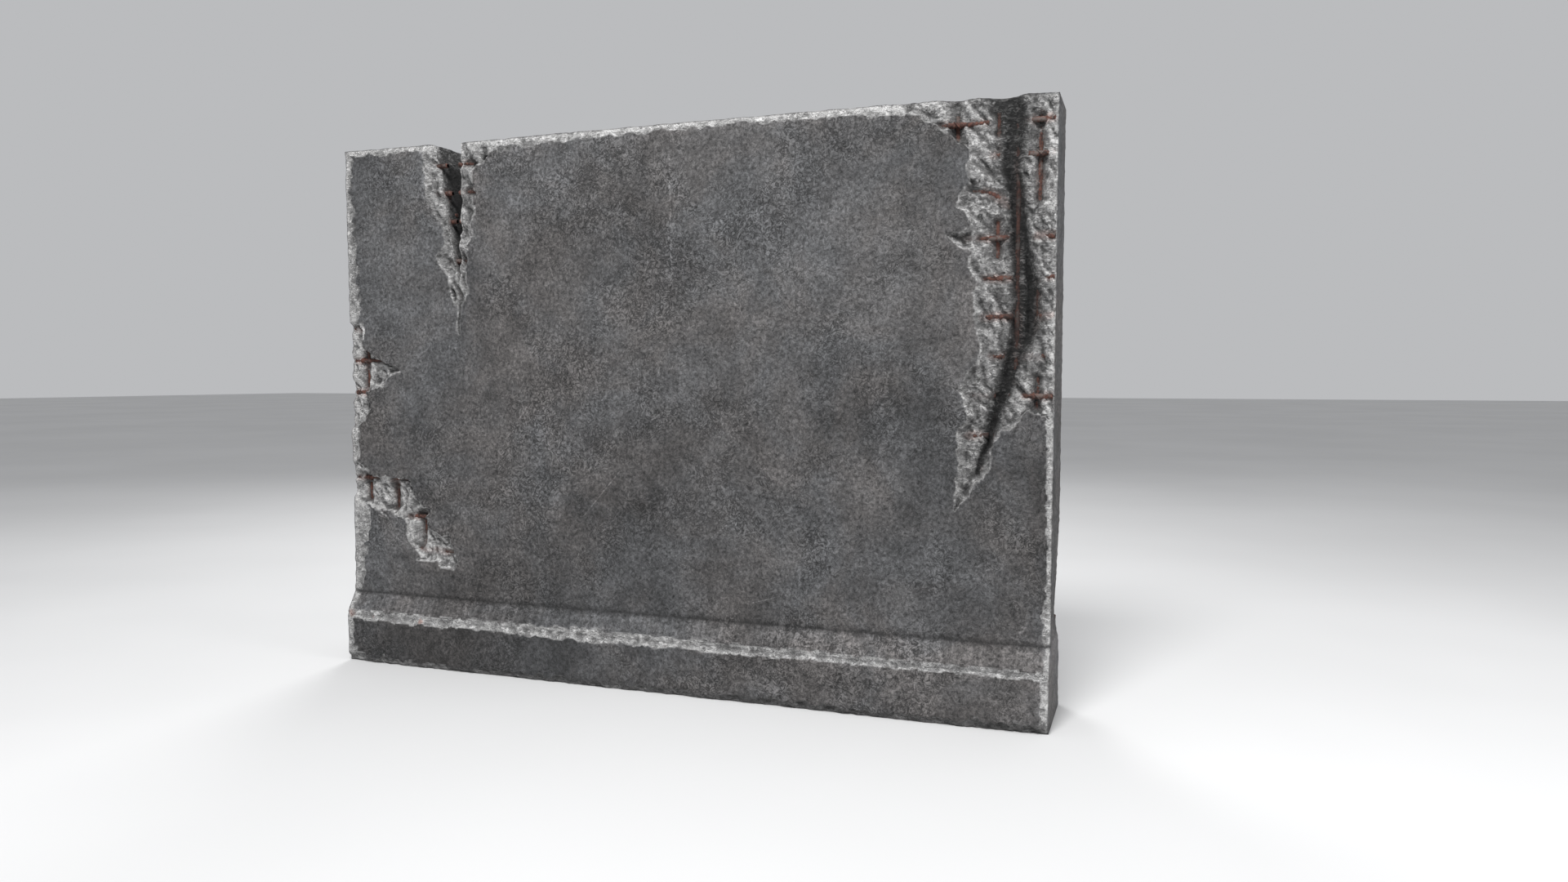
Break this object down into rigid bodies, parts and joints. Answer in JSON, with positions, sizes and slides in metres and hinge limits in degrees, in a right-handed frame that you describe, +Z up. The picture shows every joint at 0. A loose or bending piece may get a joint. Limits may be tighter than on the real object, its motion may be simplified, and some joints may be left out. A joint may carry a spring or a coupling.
{
  "type": "concrete jersey barrier",
  "caption": "Tall, narrow precast concrete barrier wall on a low sloping toe, cracked and spalled, with a rusty reinforcing cage and cast-in lifting sockets.",
  "frame": {"origin": "on the ground at the middle of the base", "axes": "+X along the barrier, +Z up, the damaged front faces -Y"},
  "size_m": [1.45, 0.2, 1.07],
  "materials": {
    "concrete": "weathered dark grey cast concrete, light and rough where broken",
    "rebar": "rusted reinforcing bar",
    "binding_wire": "rusted binding wire",
    "spacer_plastic": "matte grey",
    "spacer_mortar": "plain mortar",
    "socket_steel": "dull, stained"
  },
  "bodies": {
    "root": {"concrete_body": "concrete", "front_upright_bars": "rebar", "front_rails": "rebar", "front_torn_rail": "rebar", "rear_upright_bars": "rebar", "rear_rails": "rebar", "top_hairpins": "rebar", "left_end_hairpins": "rebar", "right_end_hairpins": "rebar", "end_core_bars": "rebar", "toe_links": "rebar", "toe_crest_bars": "rebar", "toe_base_bars": "rebar", "cross_ties": "rebar", "front_tie_wires": "binding_wire", "rear_tie_wires": "binding_wire", "front_cover_spacers": "spacer_plastic", "rear_cover_spacers": "spacer_plastic", "base_spacer_blocks": "spacer_mortar", "left_lifting_socket": "socket_steel", "right_lifting_socket": "socket_steel", "left_socket_tail": "rebar", "right_socket_tail": "rebar"}
  },
  "joints": []
}
